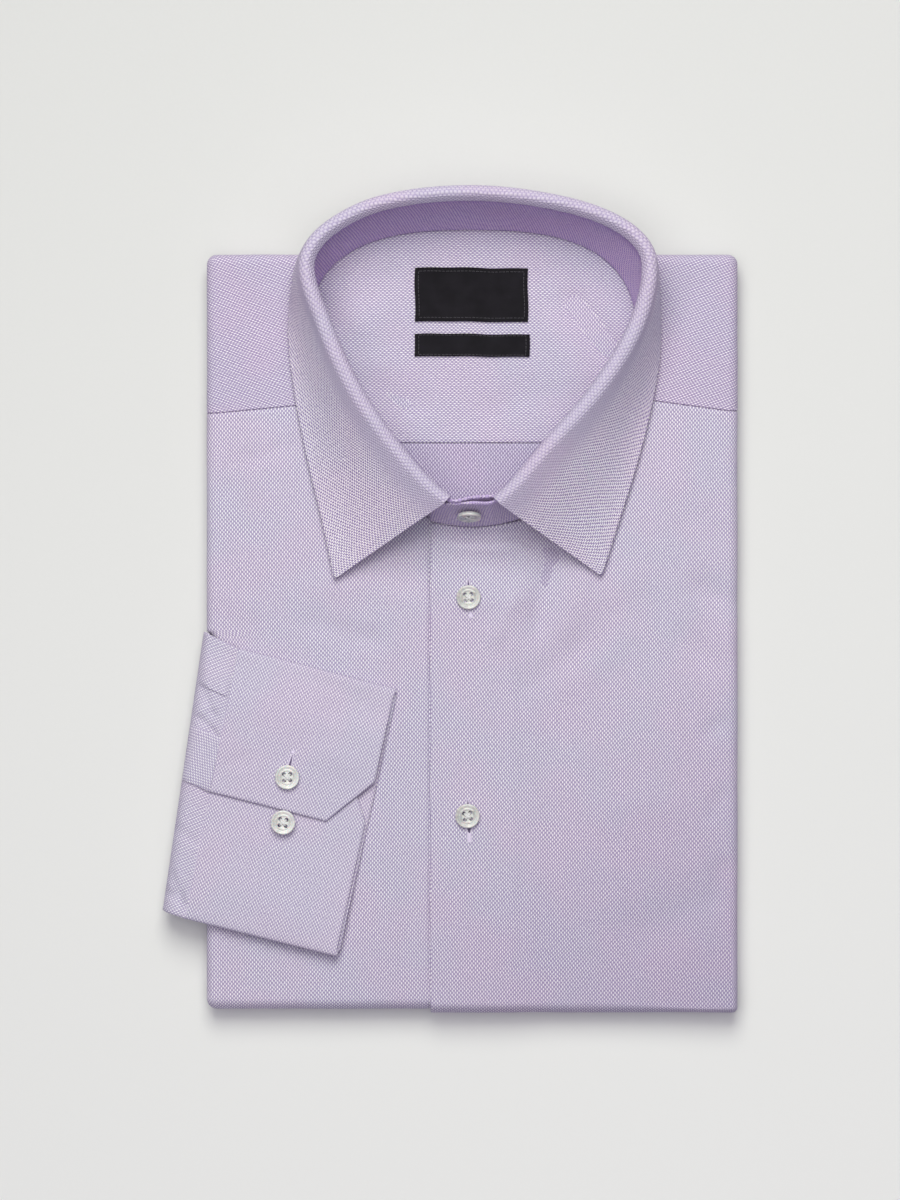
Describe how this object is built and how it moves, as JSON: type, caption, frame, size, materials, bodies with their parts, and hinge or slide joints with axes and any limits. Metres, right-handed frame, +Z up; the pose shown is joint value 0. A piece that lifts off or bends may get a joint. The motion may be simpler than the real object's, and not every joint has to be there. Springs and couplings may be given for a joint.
{
  "type": "folded long sleeve dress shirt",
  "caption": "Long sleeve dress shirt folded flat, its front buttoned, its pointed collar standing up and a cuffed sleeve laid back over the front.",
  "frame": {"origin": "on the table under the middle of the shirt's bounding box", "axes": "+Z up from the table, +Y along the shirt from its foot fold to the collar, +X across it towards the viewer's right"},
  "size_m": [0.259, 0.3714, 0.0474],
  "materials": {
    "shirt_cloth": "matte",
    "button_shell": "pearly",
    "label_satin": "satin"
  },
  "bodies": {
    "root": {"folded_layers": "shirt_cloth", "back": "shirt_cloth", "yoke_back": "shirt_cloth", "front_right": "shirt_cloth", "front_left": "shirt_cloth", "yoke_shoulder_right": "shirt_cloth", "yoke_shoulder_left": "shirt_cloth", "collar_stand": "shirt_cloth", "collar_leaf": "shirt_cloth", "cuff": "shirt_cloth", "sleeve": "shirt_cloth", "sleeve_placket": "shirt_cloth", "collar_button": "button_shell", "front_button_upper": "button_shell", "front_button_lower": "button_shell", "cuff_button_fastened": "button_shell", "cuff_button_spare": "button_shell", "label_main": "label_satin", "label_size": "label_satin"}
  },
  "joints": []
}
